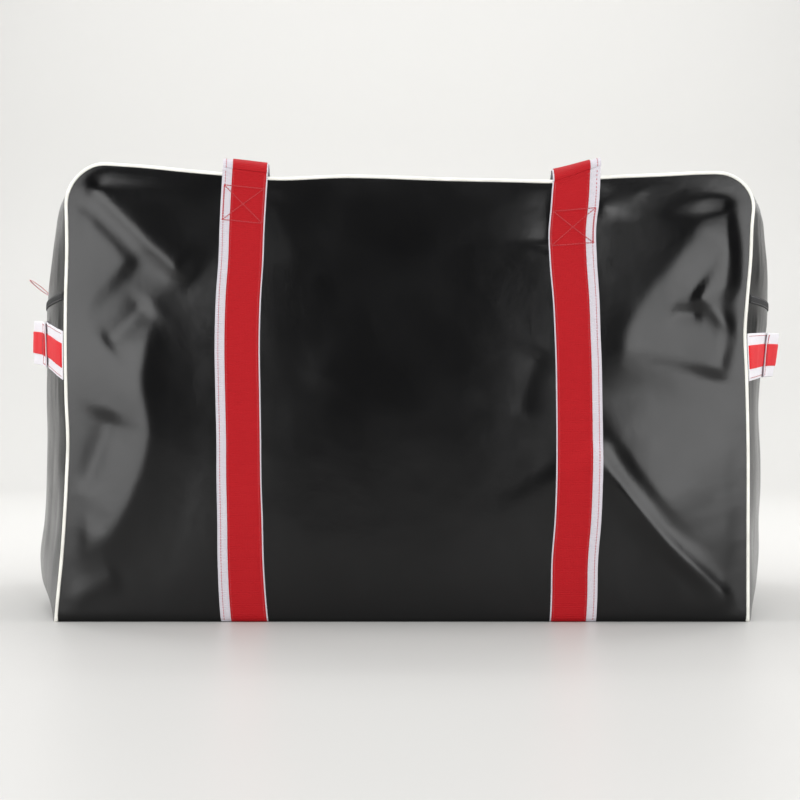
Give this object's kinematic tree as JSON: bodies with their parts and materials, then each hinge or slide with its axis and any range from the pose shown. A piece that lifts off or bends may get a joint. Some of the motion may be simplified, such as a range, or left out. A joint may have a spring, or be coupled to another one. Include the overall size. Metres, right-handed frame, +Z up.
{
  "type": "hockey equipment bag",
  "caption": "Boxy black coated-fabric sports duffle with bulging ends, white piping, red and white carry straps, webbing grab handles on the ends and a zipped lid.",
  "frame": {"origin": "middle of the bag's footprint, on the floor it stands on", "axes": "+X along the bag's length to its right end, +Z up, and the front panel faces -Y"},
  "size_m": [0.906, 0.462, 0.504],
  "materials": {
    "black_vinyl": "semi-gloss coated fabric, softly dented and creased",
    "white_webbing": "flat woven webbing with fine ribs",
    "red_webbing": "flat woven webbing with fine ribs, stitched along both edges",
    "red_thread": "lockstitch thread",
    "piping": "satin moulded piping",
    "binding": "folded black binding tape",
    "zip_tape": "matte woven zip tape",
    "zip_teeth": "moulded coil teeth",
    "zip_metal": "black painted die casting, worn at the edges",
    "pull_ribbon": "narrow white ribbon with red edges"
  },
  "bodies": {
    "bag": {"front_panel": "black_vinyl", "back_panel": "black_vinyl", "bottom_panel": "black_vinyl", "left_end_panel": "black_vinyl", "right_end_panel": "black_vinyl", "left_front_gusset": "black_vinyl", "left_back_gusset": "black_vinyl", "right_front_gusset": "black_vinyl", "right_back_gusset": "black_vinyl", "left_end_binding": "binding", "right_end_binding": "binding", "front_piping": "piping", "back_piping": "piping", "left_zip_tape": "zip_tape", "right_zip_tape": "zip_tape", "left_zip_chain": "zip_teeth", "right_zip_chain": "zip_teeth", "zip_end_stops": "zip_metal", "front_left_strap": "white_webbing", "front_right_strap": "white_webbing", "back_left_strap": "white_webbing", "back_right_strap": "white_webbing", "front_left_stripe": "red_webbing", "front_right_stripe": "red_webbing", "back_left_stripe": "red_webbing", "back_right_stripe": "red_webbing", "front_box_stitching": "red_thread", "back_box_stitching": "red_thread", "left_end_band": "white_webbing", "right_end_band": "white_webbing", "left_end_band_stripe": "red_webbing", "right_end_band_stripe": "red_webbing", "left_loop_tabs": "white_webbing", "right_loop_tabs": "white_webbing", "left_loop_tab_stripes": "red_webbing", "right_loop_tab_stripes": "red_webbing"},
    "front_flap": {"front_flap": "black_vinyl", "front_flap_zip_tape": "zip_tape", "front_flap_zip_teeth": "zip_teeth"},
    "back_flap": {"back_flap": "black_vinyl", "back_flap_zip_tape": "zip_tape", "back_flap_zip_teeth": "zip_teeth"},
    "front_handle": {"front_handle": "white_webbing", "front_handle_stripe": "red_webbing"},
    "back_handle": {"back_handle": "white_webbing", "back_handle_stripe": "red_webbing"},
    "left_grab_handle": {"left_grab_loop": "white_webbing", "left_grab_loop_stripe": "red_webbing"},
    "right_grab_handle": {"right_grab_loop": "white_webbing", "right_grab_loop_stripe": "red_webbing"},
    "zip_slider": {"zip_slider": "zip_metal"},
    "zip_pull": {"zip_pull_tab": "zip_metal", "zip_pull_ribbon": "pull_ribbon"}
  },
  "joints": [
    {"name": "front_flap_hinge", "type": "hinge", "parent": "bag", "child": "front_flap", "pos_m": [0, -0.226, 0.485], "axis": [1, 0, 0], "range_deg": [0, 85]},
    {"name": "back_flap_hinge", "type": "hinge", "parent": "bag", "child": "back_flap", "pos_m": [0, 0.226, 0.485], "axis": [-1, 0, 0], "range_deg": [0, 85]},
    {"name": "front_handle_hinge", "type": "hinge", "parent": "front_flap", "child": "front_handle", "pos_m": [0, -0.236, 0.495], "axis": [1, 0, 0], "range_deg": [0, 165]},
    {"name": "back_handle_hinge", "type": "hinge", "parent": "back_flap", "child": "back_handle", "pos_m": [0, 0.236, 0.495], "axis": [-1, 0, 0], "range_deg": [0, 165]},
    {"name": "left_grab_handle_hinge", "type": "hinge", "parent": "bag", "child": "left_grab_handle", "pos_m": [-0.43509, 0, 0.3113], "axis": [0, 1, 0], "range_deg": [-15, 15]},
    {"name": "right_grab_handle_hinge", "type": "hinge", "parent": "bag", "child": "right_grab_handle", "pos_m": [0.43509, 0, 0.2956], "axis": [0, -1, 0], "range_deg": [-15, 15]},
    {"name": "zip_slide", "type": "slide", "parent": "bag", "child": "zip_slider", "axis": [0.1586, 0, 0.9874], "range_m": [0, 0.068]},
    {"name": "zip_pull_hinge", "type": "hinge", "parent": "zip_slider", "child": "zip_pull", "pos_m": [-0.42906, 0, 0.36682], "axis": [0, 1, 0], "range_deg": [-90, 30]}
  ]
}
